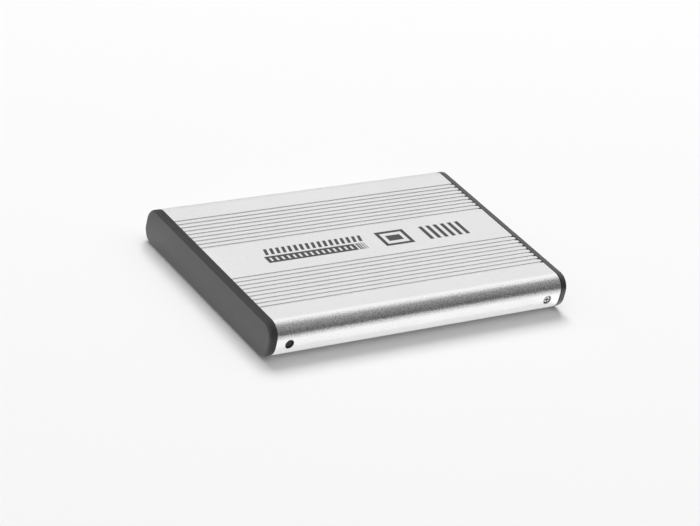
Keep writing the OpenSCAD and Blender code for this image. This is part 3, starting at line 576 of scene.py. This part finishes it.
# %% [markdown]
# ## Floor
#
# The case lies on a seamless white sheet. In a studio such a sheet is lit from its own side until it is just
# white. Here the camera and the reflections see a small extra glow in the floor's material, through the
# Light Path node, so the floor reads white and keeps the shadow, while the light on the case stays plain.
# The side of the case mirrors the floor close to it, where the shadow lies. In the picture that side is still
# bright, so mirrors see more of the glow near the case's outline, and it fades within a few centimetres. A
# ray that has already left a matt surface doesn't see it, or the mirrored glow would fill the shadow.

# %% Floor
camera_glow = 0.10
mirror_glow, mirror_glow_far, mirror_reach = 0.68, 0.06, 0.024
no_bounce = 0.5
reach = 3.0

paper, tree, shader = start_finish("white_paper")
shader.inputs["Base Color"].default_value = (0.82, 0.82, 0.82, 1.0)
shader.inputs["Roughness"].default_value = 0.9
shader.inputs["Specular IOR Level"].default_value = 0.1

quarter = add_node(tree, "ShaderNodeVectorMath", operation="ABSOLUTE")
past_case = add_node(tree, "ShaderNodeVectorMath", operation="SUBTRACT")
outside = add_node(tree, "ShaderNodeVectorMath", operation="MAXIMUM")
from_case = add_node(tree, "ShaderNodeVectorMath", operation="LENGTH")
feed(tree, quarter.inputs[0], object_place(tree))
feed(tree, past_case.inputs[0], quarter.outputs["Vector"])
feed(tree, past_case.inputs[1], (cad_box[1][0], cad_box[1][1], 0.0))
feed(tree, outside.inputs[0], past_case.outputs["Vector"])
feed(tree, from_case.inputs[0], outside.outputs["Vector"])
near_case = add_ramp(tree, from_case.outputs["Value"], 0.0, mirror_reach, mirror_glow, mirror_glow_far)

rays = add_node(tree, "ShaderNodeLightPath").outputs
no_matt_bounce = add_math(tree, "LESS_THAN", rays["Diffuse Depth"], no_bounce)
mirrored = add_math(tree, "MULTIPLY", rays["Is Glossy Ray"], no_matt_bounce)
for_mirrors = add_math(tree, "MULTIPLY", near_case, mirrored)
lift = add_math(tree, "MULTIPLY_ADD", rays["Is Camera Ray"], camera_glow, for_mirrors)
glow = add_node(tree, "ShaderNodeEmission", Color=(1.0, 1.0, 1.0, 1.0), Strength=lift)
total = add_node(tree, "ShaderNodeAddShader")
output = next(n for n in tree.nodes if n.type == "OUTPUT_MATERIAL")
feed(tree, total.inputs[0], shader.outputs["BSDF"])
feed(tree, total.inputs[1], glow.outputs["Emission"])
feed(tree, output.inputs["Surface"], total.outputs["Shader"])

floor_mesh = bpy.data.meshes.new("floor")
floor_mesh.from_pydata([(-reach, -reach, 0), (reach, -reach, 0), (reach, reach, 0), (-reach, reach, 0)],
                       [], [(0, 1, 2, 3)])
floor_mesh.materials.append(paper)
floor = bpy.data.objects.new("floor", floor_mesh)
bpy.context.scene.collection.objects.link(floor)
print("floor side:", 2 * reach, "m")

# %% [markdown]
# ## Light
#
# One large soft light stands behind the case and to the right. The flat top mirrors it towards the camera,
# which is why the top reads almost white, and it only serves mirrors. A key light behind the case lights the
# floor and throws the soft shadow forward, and a weaker one overhead fills it. Neither shows in a mirror. The
# world behind them is a grey room that gets darker towards the horizon. The rounded edge mirrors it from the
# ceiling down, so the edge is darkest just above the bright side. On the left the room has a paler wall that
# only mirrors see. Nothing mirrors it in the first view, but it keeps the metal silver from most other sides.

# %% Lamps and world
def soft_light(name, place, aim, width, height, radiance, in_mirrors=True, on_matt=True):
    lamp = bpy.data.lights.new(name, "AREA")
    lamp.shape = "RECTANGLE"
    lamp.size = width
    lamp.size_y = height
    lamp.energy = radiance * math.pi * width * height
    holder = bpy.data.objects.new(name, lamp)
    holder.location = place
    holder.rotation_euler = (Vector(aim) - Vector(place)).to_track_quat("-Z", "Y").to_euler()
    holder.visible_glossy = in_mirrors
    holder.visible_diffuse = on_matt
    bpy.context.scene.collection.objects.link(holder)
    print(name, "gives", round(lamp.energy, 1), "W")


soft_light("back_light", place=(1.02, 0.86, 0.83), aim=(0.07, 0.06, -0.12), width=2.0, height=1.9,
           radiance=0.71, on_matt=False)
soft_light("rear_key", place=(0.85, 2.50, 3.65), aim=(0, 0, 0), width=2.6, height=2.0, radiance=9.8,
           in_mirrors=False)
soft_light("top_light", place=(0.10, 0.00, 1.60), aim=(0, 0, 0), width=1.4, height=1.4, radiance=0.5,
           in_mirrors=False)

horizon_level, ceiling_level, ceiling_height = 0.03, 0.45, 0.85
wall_level, wall_start, wall_full, skirting_height = 0.50, 0.40, -0.20, 0.20

world = bpy.data.worlds.new("studio")
bpy.context.scene.world = world
world.use_nodes = True
air = world.node_tree
sky = next(n for n in air.nodes if n.type == "BACKGROUND")
direction = add_node(air, "ShaderNodeTexCoord").outputs["Generated"]
axes = add_node(air, "ShaderNodeSeparateXYZ", Vector=direction).outputs
room = add_ramp(air, axes["Z"], 0.0, ceiling_height, horizon_level, ceiling_level)
white_wall = add_ramp(air, axes["X"], wall_start, wall_full, 0.0, wall_level)
above_skirting = add_math(air, "MULTIPLY", white_wall, add_ramp(air, axes["Z"], 0.0, skirting_height))
seen_in_metal = add_node(air, "ShaderNodeLightPath").outputs["Is Glossy Ray"]
feed(air, sky.inputs["Strength"], add_math(air, "MULTIPLY_ADD", above_skirting, seen_in_metal, room))
sky.inputs["Color"].default_value = (1.0, 1.0, 1.0, 1.0)

bpy.context.scene.view_settings.view_transform = "Standard"
